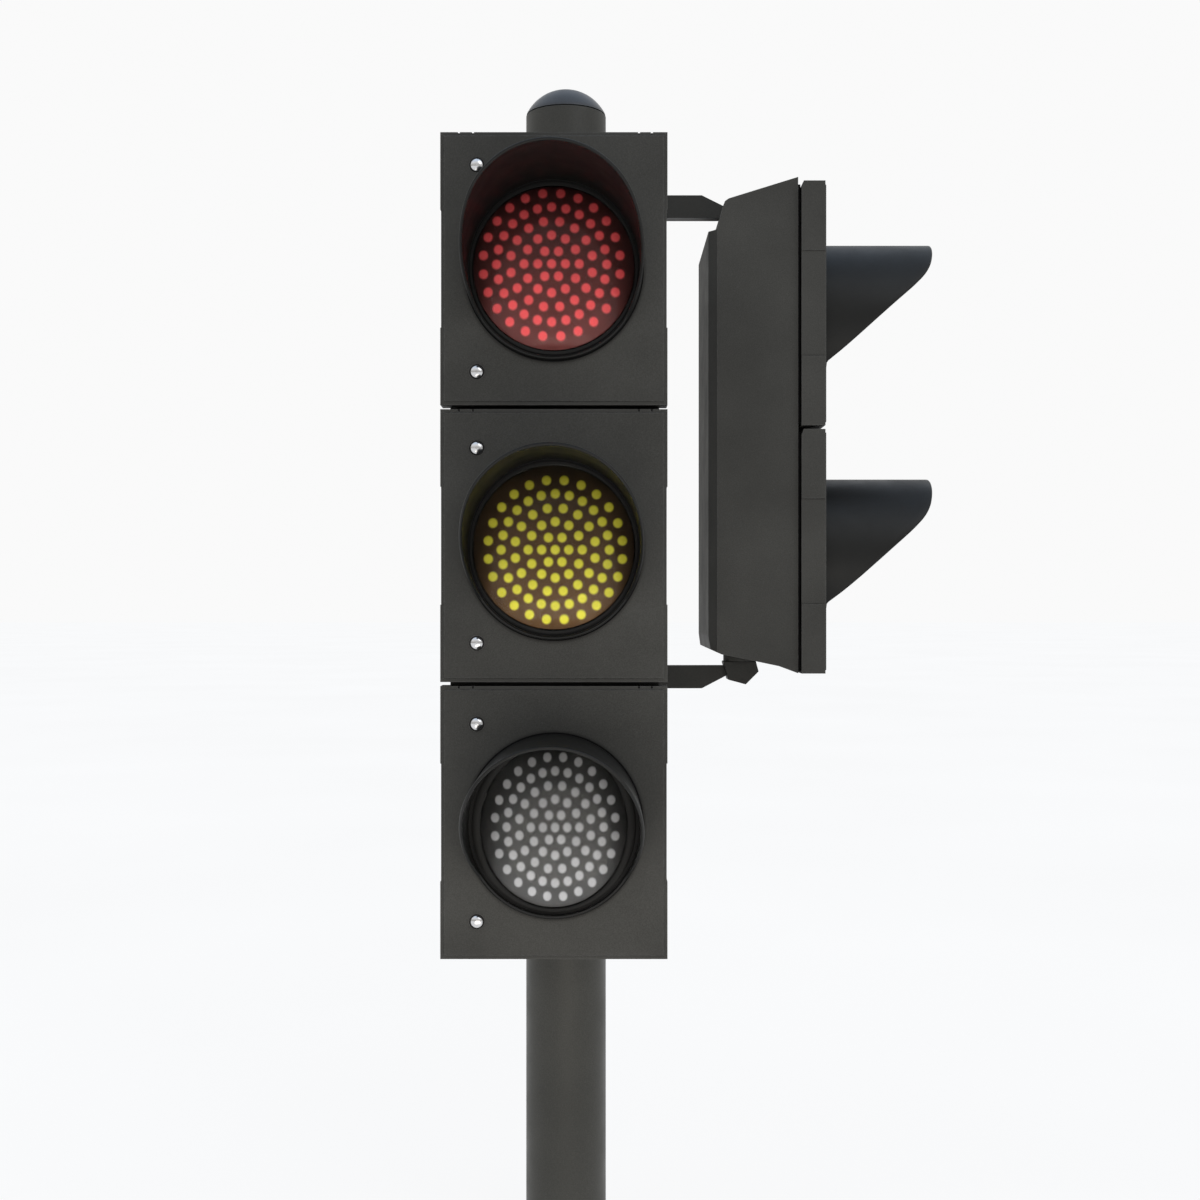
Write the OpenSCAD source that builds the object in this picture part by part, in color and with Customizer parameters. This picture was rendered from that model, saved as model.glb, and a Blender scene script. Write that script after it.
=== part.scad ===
// Pole-mounted traffic signal: a three-aspect head facing -Y and a two-aspect head facing +X.
// Millimetres, +Z up, origin on the pole's axis at its lower end.

/* [Pole] */
// Outside diameter of the pole
pole_d = 114.3; // [100:1:120]
// Wall thickness of the pole
pole_wall = 3.6; // [3:0.2:5]
// Height of the pole below its cap
pole_top = 1594; // [1560:2:1700]
// Height of the cap's dome
cap_rise = 37; // [25:1:45]

/* [Heads] */
// Distance from the pole's axis to the face of each door
face_u = 354.8; // [350:1:370]
// Height of the centre of the top aspects
top_z = 1301; // [1290:1:1310]
// Height from one aspect to the next
row_pitch = 335.2; // [334:0.2:345]
// Sideways shift of the front head from the pole's axis
main_shift = -7; // [-10:1:10]
// Wall thickness of the casings
case_wall = 3.5; // [3:0.25:4]

/* [Doors] */
// Width of a door
door_w = 275; // [273:1:277]
// Height of a door
door_h = 330.2; // [326:0.2:331]
// Depth of a door from its face to its rear edge
door_t = 33.9; // [33.4:0.1:35.2]
// Thickness of a door's front plate
door_plate = 4; // [3:0.5:4]
// Distance of the quarter-turn screws from the door's middle
latch_x = 93.2; // [90:1:96]

/* [Visors] */
// Outer radius of a visor
visor_r = 111.2; // [109:0.2:113]
// Thickness of a visor's sheet
visor_wall = 4; // [3:0.25:4]
// Length of a visor along its top
visor_len = 163; // [150:1:190]
// Length of a visor at its bottom
visor_collar = 8; // [6:0.5:12]
// Slope of a visor's cut, from the horizontal
visor_cut = 43; // [38:0.5:46]

/* [Lamps] */
// Radius of a lens
lens_r = 101.5; // [98:0.5:101.5]
// Rise of a lens's dome ahead of the door
lens_rise = 14; // [8:1:20]
// Distance from one ring of diodes to the next
led_pitch = 16.9; // [15:0.1:17.4]
// Radius of a diode
led_r = 6; // [4:0.1:6]

/* [Hidden] */
$fn = 64;

// The two heads: MAIN faces -Y and has three rows, SIDE faces +X and has two.
MAIN = 0;
SIDE = 1;
head_rows = [3, 2];
row_z = [for (row = [0:2]) top_z - row * row_pitch];
// Distance of the quarter-turn screws above and below each row's centre
latch_dz = [125, 118, 119.5];
// How far each lamp's centre lies below its row's, by head
lamp_drop = [[0.2, 2.6, 3.4], [5.6, 4.2]];
// Sideways squeeze of each row's diode pattern, as its optic shows it
led_squeeze = [0.96, 0.965, 0.865];

// Paint, plastic and metal
charcoal = "#3e3e3c";
soot = "#22211f";
pole_grey = "#42413d";
chrome = "#c8ccd2";
zinc = "#8a8d90";
rubber = "#111111";

// Gaps and fits
running = 0.05;
body_gap = 0.3;
eps = 0.5;

// Casing: distances from the pole's axis, heights above the top row and below the bottom row
case_w = 257.4;
case_front_u = 317.3;
back_u = 197.3;
back_half_w = 105;
brim_dz = 172.3;
door_opening = [119, 154];
swivel_u = 250;
boss_r = 24;
pivot_r = 8;
upper_seat_dz = 161;
lower_seat_dz = -153;

// Hinges
hinge_x = 133;
hinge_u = face_u - 36.1;
hinge_dz = 110;
lug_r = 4.2;
pin_r = 2.2;
lug_half = 8;
door_lug_len = 8;

// Latches
latch_shank_r = 4;
latch_head_r = 8;
latch_rise = 5;
latch_recess_r = 9.3;
latch_boss_r = 10.6;
cam_len = 20;

// Lamps
flange_r = 106;
lens_wall = 3;
barrel_r = 88;
barrel_depth = 95;
ring_counts = [1, 6, 12, 16, 24, 24];
ring_starts = [0, 30, 0, 11.25, 0, 7.5];

// Collars and arms
collar_h = 56;
collar_t = 9.5;
collar_clear = 0.05;
split_gap = 3;
ear_t = 12;
ear_reach = 90;
ear_bolt_r = 5;
pad_u = 72;
pad_w = 50;
flange_t = 8;
arm_w = 19;
arm_h = 32.6;
arm_bend_u = 194.6;
upper_arm_dz = 145.9;
lower_arm_dz = -192.2;
arm_bolt_r = 4;
upper_bolt_h = 8;
lower_bolt_h = 12;
pole_r = pole_d / 2;
collar_levels = [
    row_z[0] + upper_arm_dz + arm_h / 2,
    row_z[1] + lower_arm_dz + arm_h / 2,
    row_z[2] + lower_arm_dz + arm_h / 2
];

// ---------- helpers ----------

// Puts a head's parts, drawn facing -Y, where that head stands.
module in_head(head) {
    if (head == MAIN) translate([main_shift, 0, 0]) children();
    else rotate([0, 0, 90]) children();
}

// Extrudes an outline of [distance from the pole, height] across a width centred on the head.
module across(width) {
    translate([width / 2, 0, 0]) rotate([0, 0, -90]) rotate([90, 0, 0])
        linear_extrude(width) children();
}

// Stands a part on the point [x, height] at a distance u from the pole, with its +Z facing out.
module outward(x, z, u) {
    translate([x, -u, z]) rotate([90, 0, 0]) children();
}

// Stands a part on the axis of a lamp, u from the pole.
module on_lamp(head, row, u = face_u) {
    in_head(head) outward(0, row_z[row] - lamp_drop[head][row], u) children();
}

// A block from one corner to the opposite corner, in [x, distance from the pole, height].
module block(low, high) {
    translate([low[0], -high[1], low[2]])
        cube([high[0] - low[0], high[1] - low[1], high[2] - low[2]]);
}

// A round tube along +Z.
module tube(outer, inner, height) {
    difference() {
        cylinder(r = outer, h = height);
        translate([0, 0, -1]) cylinder(r = inner, h = height + 2);
    }
}

// A dome of a given base radius and rise, standing on z = 0.
module dome(base_r, rise) {
    ball_r = (base_r * base_r + rise * rise) / (2 * rise);
    intersection() {
        translate([0, 0, rise - ball_r]) sphere(r = ball_r);
        cylinder(r = base_r + 1, h = rise + 1);
    }
}

function unit(v) = v / norm(v);
function left_of(a, b) = unit([a[1] - b[1], b[0] - a[0]]);
function moved_corner(a, b, c, depth) =
    b + (left_of(a, b) + left_of(b, c)) * depth / (1 + left_of(a, b) * left_of(b, c));
// An anticlockwise outline with every edge moved inwards.
function inset(outline, depth) = [
    for (i = [0:len(outline) - 1])
        moved_corner(
            outline[(i + len(outline) - 1) % len(outline)], outline[i],
            outline[(i + 1) % len(outline)], depth)
];

// ---------- casings ----------

// Side outline of a casing between a top row and a bottom row, anticlockwise.
function case_outline(zt, zb) = [
    [case_front_u, zb - door_h / 2],
    [case_front_u, zt + brim_dz],
    [223.4, zt + 143.2],
    [218.2, zt + 139.6],
    [215.4, zt + 132.7],
    [207.8, zt + 102.3],
    [213.5, zb - 139.5],
    [264.9, zb - 149.9],
    [293.3, zb - 155.9]
];

// Side outline of the raised panel on a casing's back.
function panel_outline(zt, zb) = [
    [230, zb - 139.5],
    [230, zt + 96.6],
    [back_u, zt + 103.5],
    [back_u, zb - 115.5],
    [200, zb - 133.3],
    [213.5, zb - 139.5]
];

// Plan of the raised panel, with its corners cut back to the casing's sides.
module panel_plan() {
    polygon([
        [-case_w / 2, -230], [case_w / 2, -230], [case_w / 2, -207.8],
        [back_half_w, -back_u], [-back_half_w, -back_u], [-case_w / 2, -207.8]
    ]);
}

module case_hinge_lug(z) {
    translate([hinge_x, -hinge_u, z - lug_half]) cylinder(r = lug_r, h = 2 * lug_half);
    block([case_w / 2 - 0.7, hinge_u - 12, z - lug_half], [hinge_x - 1, hinge_u, z + lug_half]);
}

module head_case(rows) {
    zt = row_z[0];
    zb = row_z[rows - 1];
    panel_inner = 3.7;
    difference() {
        union() {
            across(case_w) polygon(case_outline(zt, zb));
            intersection() {
                across(case_w) polygon(panel_outline(zt, zb));
                translate([0, 0, zb - 200]) linear_extrude(zt - zb + 400) panel_plan();
            }
            translate([0, -swivel_u, zt + upper_seat_dz - 12]) cylinder(r = boss_r, h = 12);
            translate([0, -swivel_u, zb + lower_seat_dz]) cylinder(r = boss_r, h = 12);
            for (row = [0:rows - 1], side = [-1, 1]) case_hinge_lug(row_z[row] + side * hinge_dz);
        }
        difference() {
            union() {
                across(case_w - 2 * case_wall) polygon(inset(case_outline(zt, zb), case_wall));
                block(
                    [-back_half_w + panel_inner, back_u + panel_inner, zb - 111.8],
                    [back_half_w - panel_inner, 240, zt + 92]);
            }
            case_inner_parts(rows, zt, zb);
        }
        for (row = [0:rows - 1])
            block(
                [-door_opening[0], case_front_u - 2 * case_wall, row_z[row] - door_opening[1]],
                [door_opening[0], case_front_u + 1, row_z[row] + door_opening[1]]);
        for (seat = [zt + upper_seat_dz, zb + lower_seat_dz])
            translate([0, -swivel_u, seat - 60]) cylinder(r = pivot_r + running, h = 120);
        for (row = [0:rows - 1], side = [-1, 1])
            translate([hinge_x, -hinge_u, row_z[row] + side * hinge_dz - lug_half - 1])
                cylinder(r = pin_r + 0.01, h = 2 * lug_half + 2);
    }
}

// What stands inside a casing: pivot bosses and the shelves between its chambers.
module case_inner_parts(rows, zt, zb) {
    shelf_t = 4;
    translate([0, -swivel_u, zt + upper_seat_dz - 36]) cylinder(r = boss_r, h = 40);
    translate([0, -swivel_u, zb + lower_seat_dz - 4]) cylinder(r = boss_r, h = 32);
    if (rows > 1) for (row = [0:rows - 2]) {
        z = row_z[row] - row_pitch / 2;
        difference() {
            block([-150, 150, z - shelf_t / 2], [150, 400, z + shelf_t / 2]);
            block([-60, 222, z - shelf_t], [60, 282, z + shelf_t]);
        }
    }
}

module door_seals(rows) {
    color(rubber) for (row = [0:rows - 1]) translate([0, 0, row_z[row]]) difference() {
        block([-127, case_front_u, -162.4], [127, face_u - door_t - body_gap - 0.1, 162.4]);
        block(
            [-door_opening[0], case_front_u - 1, -door_opening[1]],
            [door_opening[0], face_u, door_opening[1]]);
    }
}

module hinge_pins(rows) {
    pin_half = lug_half + body_gap + door_lug_len;
    color(zinc) for (row = [0:rows - 1], side = [-1, 1])
        translate([hinge_x, -hinge_u, row_z[row] + side * hinge_dz - pin_half])
            cylinder(r = pin_r, h = 2 * pin_half);
}

module terminal_block(rows) {
    z = row_z[rows - 2] + 30;
    body = [60, 20, 12];
    front = back_u + 3.7 + body[1];
    color("#d9d4c4") difference() {
        block([-body[0], back_u + 3.7, z - body[2]], [body[0], front, z + body[2]]);
        for (pole_no = [-5:5]) outward(pole_no * 10, z, front - 4) cylinder(r = 3, h = 5);
    }
}

// ---------- doors ----------

// Plan of a door: distance from its middle and depth behind its face, with a rebated front edge.
module door_plan() {
    w = door_w / 2;
    polygon([
        [-w, 1.8], [-w + 4, 1.4], [-w + 5, 0], [w - 5, 0], [w - 4, 1.4], [w, 1.8],
        [w, door_t], [-w, door_t]
    ]);
}

// Side outline of a door: distance from the pole and height above its centre.
module door_side() {
    h = door_h / 2;
    polygon([
        [face_u, 5 - h], [face_u, h - 5], [face_u - 1.4, h - 4], [face_u - 1.8, h],
        [face_u - door_t + 3, h], [face_u - door_t, h - 8], [face_u - door_t, -h],
        [face_u - 1.8, -h], [face_u - 1.4, 4 - h]
    ]);
}

module door_hinge_blocks() {
    start = lug_half + body_gap;
    for (side = [-1, 1], half = [-1, 1]) {
        z = side * hinge_dz + (half > 0 ? start : -start - door_lug_len);
        translate([hinge_x, -hinge_u, z]) cylinder(r = lug_r, h = door_lug_len);
        block([hinge_x - lug_r, hinge_u, z], [door_w / 2 - 0.3, hinge_u + 11, z + door_lug_len]);
    }
}

module door(head, row) {
    inner_w = door_w / 2 - door_plate;
    inner_h = door_h / 2 - door_plate;
    drop = lamp_drop[head][row];
    notch_x = [-115, -98, 103, 118.6];
    color(charcoal) in_head(head) translate([0, 0, row_z[row]]) difference() {
        union() {
            difference() {
                intersection() {
                    translate([0, -face_u, -door_h]) linear_extrude(2 * door_h) door_plan();
                    across(door_w + 2) door_side();
                }
                block(
                    [-inner_w, face_u - door_t - 1, -inner_h],
                    [inner_w, face_u - door_plate, inner_h]);
            }
            outward(0, -drop, face_u - 12) tube(flange_r + 4, flange_r + 1, 9);
            for (side = [-1, 1])
                outward(-latch_x, side * latch_dz[row], face_u - door_t)
                    cylinder(r = latch_boss_r, h = door_t - 1);
            door_hinge_blocks();
        }
        outward(0, -drop, face_u - door_plate - 2) cylinder(r = lens_r + 0.5, h = door_plate + 4);
        for (side = [-1, 1]) outward(-latch_x, side * latch_dz[row], face_u) {
            translate([0, 0, -door_t - 1]) cylinder(r = latch_shank_r + running, h = door_t + 2);
            translate([0, 0, -1]) cylinder(r = latch_recess_r, h = 2);
        }
        for (side = [-1, 1]) translate([hinge_x, -hinge_u, side * hinge_dz]) {
            translate([0, 0, -lug_half - body_gap])
                cylinder(r = lug_r + 1, h = 2 * (lug_half + body_gap));
            translate([0, 0, -20]) cylinder(r = pin_r + running, h = 40);
        }
        for (x = notch_x)
            block([x - 1.3, face_u - 6, door_h / 2 - 3], [x + 1.3, face_u + 1, door_h / 2 + 1]);
        for (side = [-1, 1])
            translate([side * door_w / 2, -face_u + door_t / 2, 0])
                cube([2, door_t + 2, 143], center = true);
    }
}

// ---------- visors ----------

// Side outline of a visor: distance ahead of the door and height above its centre.
function visor_outline() =
    let (
        knee = [visor_len - 19, visor_r - 53],
        tip_angle = atan2(53, 19),
        fillet = 25,
        setback = fillet * tan((tip_angle - visor_cut) / 2),
        start = knee - setback * [cos(visor_cut), sin(visor_cut)],
        centre = start + fillet * [-sin(visor_cut), cos(visor_cut)],
        steps = 6
    )
    concat(
        [[-1, -visor_r - 5], [visor_collar, -visor_r - 5]],
        [[visor_collar, knee[1] - (knee[0] - visor_collar) * tan(visor_cut)]],
        [
            for (i = [0:steps])
                let (a = visor_cut + (tip_angle - visor_cut) * i / steps)
                centre + fillet * [sin(a), -cos(a)]
        ],
        [[visor_len, visor_r], [visor_len, visor_r + 5], [-1, visor_r + 5]]
    );

module visor(head, row) {
    color(soot) on_lamp(head, row) {
        intersection() {
            tube(visor_r, visor_r - visor_wall, visor_len);
            translate([visor_r + 10, 0, 0]) rotate([0, -90, 0])
                linear_extrude(2 * visor_r + 20) polygon(visor_outline());
        }
    }
}

// ---------- lamps ----------

module lens(head, row, tint) {
    inner_r = lens_r - lens_wall;
    seat = 7.5;
    color(tint, 0.5) on_lamp(head, row) difference() {
        union() {
            dome(lens_r, lens_rise);
            translate([0, 0, -seat]) cylinder(r = lens_r, h = seat);
            translate([0, 0, -seat]) cylinder(r = flange_r, h = 3);
        }
        dome(inner_r, lens_rise - lens_wall);
        translate([0, 0, -seat - 1]) cylinder(r = inner_r, h = seat + 1.01);
    }
}

// A board with rings of diodes, squeezed sideways as the row's optic shows them.
module leds(head, row, tint) {
    board_back = -7.5;
    board_t = 2.5;
    color(tint) on_lamp(head, row) {
        translate([0, 0, board_back]) cylinder(r = lens_r - lens_wall - 0.5, h = board_t);
        for (ring = [0:len(ring_counts) - 1], i = [0:ring_counts[ring] - 1]) {
            a = ring_starts[ring] + i * 360 / ring_counts[ring];
            spot = ring * led_pitch * [led_squeeze[row] * sin(a), cos(a)];
            translate([spot[0], spot[1], board_back + board_t]) cylinder(r = led_r, h = 4, $fn = 24);
        }
    }
}

module housing(head, row) {
    seat = 7.5;
    wall = 3;
    color("#1c1c1c") on_lamp(head, row, face_u - barrel_depth) {
        difference() {
            cylinder(r = barrel_r, h = barrel_depth - seat);
            translate([0, 0, wall]) cylinder(r = barrel_r - wall, h = barrel_depth);
        }
        translate([0, 0, barrel_depth - seat - wall]) tube(flange_r, barrel_r - 1, wall);
        translate([0, 0, -8]) cylinder(r = 14, h = 9);
    }
}

// A quarter-turn screw: side is 1 for the upper one of a door and -1 for the lower one.
module latch(head, row, side) {
    shank_len = 44;
    cam_t = 3;
    color(chrome) in_head(head) outward(-latch_x, side * latch_dz[row] + row_z[row], face_u - 0.7) {
        dome(latch_head_r, latch_rise);
        translate([0, 0, -shank_len]) cylinder(r = latch_shank_r, h = shank_len + 1);
        translate([-cam_len, -4, -shank_len]) cube([cam_len, 8, cam_t]);
    }
}

// ---------- pole ----------

module pole() {
    color(pole_grey) tube(pole_r, pole_r - pole_wall, pole_top);
}

module base_sleeve() {
    color(zinc) tube(pole_r - pole_wall - 0.05, 50, 200);
}

module pole_cap() {
    spigot_r = pole_r - pole_wall - 0.15;
    spigot_h = 62;
    seam = 1.2;
    color("#474c55") {
        translate([0, 0, pole_top + seam]) dome(pole_r, cap_rise - seam);
        translate([0, 0, pole_top - 2 * eps]) cylinder(r = spigot_r, h = seam + 3 * eps);
        translate([0, 0, pole_top - spigot_h]) tube(spigot_r, spigot_r - 3, spigot_h);
    }
}

module cap_screws() {
    color(zinc) for (a = [90, 210, 330]) rotate([0, 0, a])
        translate([pole_r, 0, pole_top - 49]) rotate([0, 90, 0]) cylinder(r = 4.5, h = 3, $fn = 6);
}

// ---------- collars and arms ----------

// Half of a clamp around the pole. side is 1 for the half that carries the arms.
module collar_half(level, side, pads) {
    ring_r = pole_r + collar_clear;
    half_h = collar_h / 2;
    color(charcoal) translate([0, 0, collar_levels[level]]) difference() {
        union() {
            intersection() {
                translate([0, 0, -half_h]) tube(ring_r + collar_t, ring_r, collar_h);
                rotate([0, 0, -45]) translate([side * 60 + side * split_gap / 2, 0, 0])
                    cube([120, 240, collar_h + 2], center = true);
            }
            rotate([0, 0, -45]) for (end = [-1, 1])
                translate([side * (split_gap + ear_t) / 2, end * (ear_reach + pole_r + 4) / 2, 0])
                    cube([ear_t, ear_reach - pole_r - 4, collar_h], center = true);
            for (head = pads) in_head(head)
                block([-pad_w / 2, pole_r - 15, -half_h], [pad_w / 2, pad_u, half_h]);
        }
        translate([0, 0, -collar_h]) cylinder(r = ring_r, h = 2 * collar_h);
        rotate([0, 0, -45]) for (end = [-1, 1], z = [-16, 16])
            translate([0, end * 78, z]) rotate([0, 90, 0])
                cylinder(r = ear_bolt_r + 0.3, h = 80, center = true);
        for (head = pads) in_head(head) arm_bolt_places()
            cylinder(r = arm_bolt_r, h = 40, center = true);
    }
}

// The four bolts of an arm's flange, about the collar's middle, facing out.
module arm_bolt_places() {
    for (x = [-17, 17], z = [-18, 18]) outward(x, z, pad_u) children();
}

module collar_bolts() {
    reach = split_gap / 2 + ear_t;
    color(zinc) for (z0 = collar_levels, end = [-1, 1], z = [-16, 16])
        rotate([0, 0, -45]) translate([0, end * 78, z0 + z]) rotate([0, 90, 0]) {
            cylinder(r = ear_bolt_r, h = 2 * reach + 20, center = true);
            translate([0, 0, reach]) cylinder(r = 9, h = 6.5, $fn = 6);
            translate([0, 0, -reach - 8]) cylinder(r = 9, h = 8, $fn = 6);
        }
}

// An arm's flange, bar and six-sided hub. The bar's outline is [distance from the pole, height].
// The hub reaches from its seat on the casing away from it, past the swivel bolt's head at bolt_h.
module arm(head, level, outline, hub_z, hub_r, seat_z, bolt_h) {
    z0 = collar_levels[level];
    hub_low = bolt_h > 0 ? seat_z : seat_z - 80;
    half_h = collar_h / 2;
    hub_half = 18;
    color(charcoal) in_head(head) difference() {
        union() {
            block([-pad_w / 2, pad_u, z0 - half_h], [pad_w / 2, pad_u + flange_t, z0 + half_h]);
            across(arm_w) polygon(outline);
            intersection() {
                translate([-hub_half, -swivel_u, hub_z]) rotate([0, 90, 0]) rotate([0, 0, -15])
                    cylinder(r = hub_r, h = 2 * hub_half, $fn = 6);
                block([-40, 200, hub_low], [40, 300, hub_low + 80]);
            }
        }
        translate([0, 0, z0]) arm_bolt_places() cylinder(r = arm_bolt_r + 0.3, h = 40, center = true);
        translate([0, -swivel_u, seat_z - 60]) cylinder(r = pivot_r + 0.01, h = 120);
        translate([0, -swivel_u, bolt_h > 0 ? seat_z + bolt_h : seat_z + bolt_h - 80])
            cylinder(r = 12.5, h = 80);
    }
}

module upper_arm(head) {
    z0 = row_z[0] + upper_arm_dz;
    seat = row_z[0] + upper_seat_dz + body_gap;
    arm(head, 0, [
        [pad_u + 1, z0], [219.5, z0], [225.3, seat], [245, seat], [245, seat + 10], [226, z0 + 17],
        [arm_bend_u, z0 + arm_h], [pad_u + 1, z0 + arm_h]
    ], seat, 15, seat, upper_bolt_h);
}

module lower_arm(head) {
    level = head == SIDE ? 1 : 2;
    z0 = row_z[level] + lower_arm_dz;
    arm(head, level, [
        [pad_u + 1, z0], [arm_bend_u, z0], [231, z0 + 19], [231, z0 + arm_h], [pad_u + 1, z0 + arm_h]
    ], row_z[level] - 161.1, 26, row_z[level] + lower_seat_dz - body_gap, -lower_bolt_h);
}

module arm_bolts() {
    color(zinc) for (end = [[MAIN, 0], [SIDE, 0], [SIDE, 1], [MAIN, 2]])
        in_head(end[0]) translate([0, 0, collar_levels[end[1]]]) arm_bolt_places() {
            translate([0, 0, -9]) cylinder(r = arm_bolt_r, h = 9 + flange_t);
            translate([0, 0, flange_t]) cylinder(r = 7.5, h = 5.5, $fn = 6);
        }
}

// A swivel bolt with its nut, drawn upwards from the nut to the head. Its seat is at z = 0.
module pivot_bolt(boss_h) {
    cylinder(r = 12, h = 5);
    translate([0, 0, -boss_h - 3]) cylinder(r = pivot_r, h = boss_h + 5);
    translate([0, 0, -boss_h]) cylinder(r = 13, h = 8, $fn = 6);
}

module pivot_bolts() {
    color(zinc) for (head = [MAIN, SIDE]) in_head(head) {
        zb = row_z[head_rows[head] - 1] + lower_seat_dz - body_gap;
        zt = row_z[0] + upper_seat_dz + body_gap;
        translate([0, -swivel_u, zt + upper_bolt_h])
            pivot_bolt(upper_bolt_h + 36 + 2 * body_gap + 8);
        translate([0, -swivel_u, zb - lower_bolt_h])
            mirror([0, 0, 1]) pivot_bolt(lower_bolt_h + 28 + 2 * body_gap + 8);
    }
}

// ---------- the nodes ----------

red = "#e8696c";
amber = "#dede3c";
white = "#c8c8c8";
green = "#4cd09a";

pole();
base_sleeve();
pole_cap();
cap_screws();
collar_half(0, 1, [MAIN, SIDE]);  // upper_collar_front
collar_half(0, -1, []);  // upper_collar_back
collar_half(1, 1, [SIDE]);  // middle_collar_front
collar_half(1, -1, []);  // middle_collar_back
collar_half(2, 1, [MAIN]);  // lower_collar_front
collar_half(2, -1, []);  // lower_collar_back
collar_bolts();
upper_arm(MAIN);  // main_upper_arm
lower_arm(MAIN);  // main_lower_arm
upper_arm(SIDE);  // side_upper_arm
lower_arm(SIDE);  // side_lower_arm
arm_bolts();
pivot_bolts();
color(charcoal) in_head(MAIN) head_case(3);  // main_case
in_head(MAIN) door_seals(3);  // main_door_seals
in_head(MAIN) hinge_pins(3);  // main_hinge_pins
in_head(MAIN) terminal_block(3);  // main_terminal_block
color(charcoal) in_head(SIDE) head_case(2);  // side_case
in_head(SIDE) door_seals(2);  // side_door_seals
in_head(SIDE) hinge_pins(2);  // side_hinge_pins
in_head(SIDE) terminal_block(2);  // side_terminal_block
door(MAIN, 0);  // main_red_door
visor(MAIN, 0);  // main_red_visor
lens(MAIN, 0, red);  // main_red_lens
leds(MAIN, 0, red);  // main_red_leds
housing(MAIN, 0);  // main_red_housing
latch(MAIN, 0, 1);  // main_red_upper_latch
latch(MAIN, 0, -1);  // main_red_lower_latch
door(MAIN, 1);  // main_amber_door
visor(MAIN, 1);  // main_amber_visor
lens(MAIN, 1, amber);  // main_amber_lens
leds(MAIN, 1, amber);  // main_amber_leds
housing(MAIN, 1);  // main_amber_housing
latch(MAIN, 1, 1);  // main_amber_upper_latch
latch(MAIN, 1, -1);  // main_amber_lower_latch
door(MAIN, 2);  // main_clear_door
visor(MAIN, 2);  // main_clear_visor
lens(MAIN, 2, white);  // main_clear_lens
leds(MAIN, 2, white);  // main_clear_leds
housing(MAIN, 2);  // main_clear_housing
latch(MAIN, 2, 1);  // main_clear_upper_latch
latch(MAIN, 2, -1);  // main_clear_lower_latch
door(SIDE, 0);  // side_red_door
visor(SIDE, 0);  // side_red_visor
lens(SIDE, 0, red);  // side_red_lens
leds(SIDE, 0, red);  // side_red_leds
housing(SIDE, 0);  // side_red_housing
latch(SIDE, 0, 1);  // side_red_upper_latch
latch(SIDE, 0, -1);  // side_red_lower_latch
door(SIDE, 1);  // side_green_door
visor(SIDE, 1);  // side_green_visor
lens(SIDE, 1, green);  // side_green_lens
leds(SIDE, 1, green);  // side_green_leds
housing(SIDE, 1);  // side_green_housing
latch(SIDE, 1, 1);  // side_green_upper_latch
latch(SIDE, 1, -1);  // side_green_lower_latch
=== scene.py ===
"""Looks for the pole-mounted traffic signal: finishes, finer meshes, studio and camera."""

import math

import bmesh
import bpy
from mathutils import Matrix, Vector


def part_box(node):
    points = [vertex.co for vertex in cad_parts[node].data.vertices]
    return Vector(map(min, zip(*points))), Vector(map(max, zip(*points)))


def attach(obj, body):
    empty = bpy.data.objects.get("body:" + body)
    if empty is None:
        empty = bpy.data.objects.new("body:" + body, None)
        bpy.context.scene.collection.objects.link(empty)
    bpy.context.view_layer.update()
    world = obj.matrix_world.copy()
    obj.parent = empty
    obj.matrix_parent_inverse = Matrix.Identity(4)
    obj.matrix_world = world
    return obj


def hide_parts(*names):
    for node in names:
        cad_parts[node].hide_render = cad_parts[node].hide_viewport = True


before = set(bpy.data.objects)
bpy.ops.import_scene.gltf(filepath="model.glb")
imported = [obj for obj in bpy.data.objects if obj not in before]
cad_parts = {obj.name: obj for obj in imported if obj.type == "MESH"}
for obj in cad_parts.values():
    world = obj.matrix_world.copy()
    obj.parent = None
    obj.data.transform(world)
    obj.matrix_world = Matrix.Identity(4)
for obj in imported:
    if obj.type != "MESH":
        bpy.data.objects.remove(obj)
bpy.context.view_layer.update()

MM = 0.001
ASPECTS = ["main_red", "main_amber", "main_clear", "side_red", "side_green"]
HEADS = ["main", "side"]

# Half width and half height of each kind of lens, and how far it stands above the visor's middle
LENS_SHAPE = {
    "red": (98.6 * MM, 100.2 * MM, 0.0),
    "amber": (98.6 * MM, 100.2 * MM, 0.0),
    "clear": (89.5 * MM, 98.8 * MM, -1.0 * MM),
    "green": (98.6 * MM, 100.2 * MM, 0.0),
}
# Pitch of each kind's rings of dots, their sideways squeeze, and their shift sideways and upwards
DOTS = {
    "red": (17.37 * MM, 0.957, -2.45 * MM, 4.0 * MM),
    "amber": (16.9 * MM, 0.965, 1.9 * MM, -2.7 * MM),
    "clear": (16.9 * MM, 0.865, 1.7 * MM, -1.0 * MM),
    "green": (16.9 * MM, 0.96, 0.0, 0.0),
}
# Outline of a dot as radius, height and how far its painted glow reaches: a frosted dome in a faint
# painted halo
DOT_PROFILE = [
    (7.3, 0.06, 0.0), (6.7, 0.1, 0.06), (6.1, 0.2, 0.25), (5.6, 0.4, 0.55), (5.1, 0.6, 0.82),
    (4.4, 0.8, 1.0), (2.4, 1.0, 1.0), (0.0, 1.05, 1.0),
]
DOT_RINGS = [(1, 0), (6, 30), (12, 0), (16, 11.25), (24, 0), (24, 7.5)]

# A visor is a little narrower than tall. Its edge is given as depth below its top and behind its tip.
VISOR_NARROW = 0.965
VISOR_WALL = 4 * MM
VISOR_COLLAR = 8 * MM
VISOR_EDGE = [
    (0.0, 0.0), (3.5, 0.9), (12.3, 2.7), (24.8, 6.2), (39.6, 11.5), (54.0, 20.8), (68.2, 34.8),
    (77.0, 44.3), (102.3, 73.0), (151.5, 126.5), (173.2, 153.0),
]
# How far the side head's visors are turned on their lamps
VISOR_TURN = math.radians(1.8)

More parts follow.
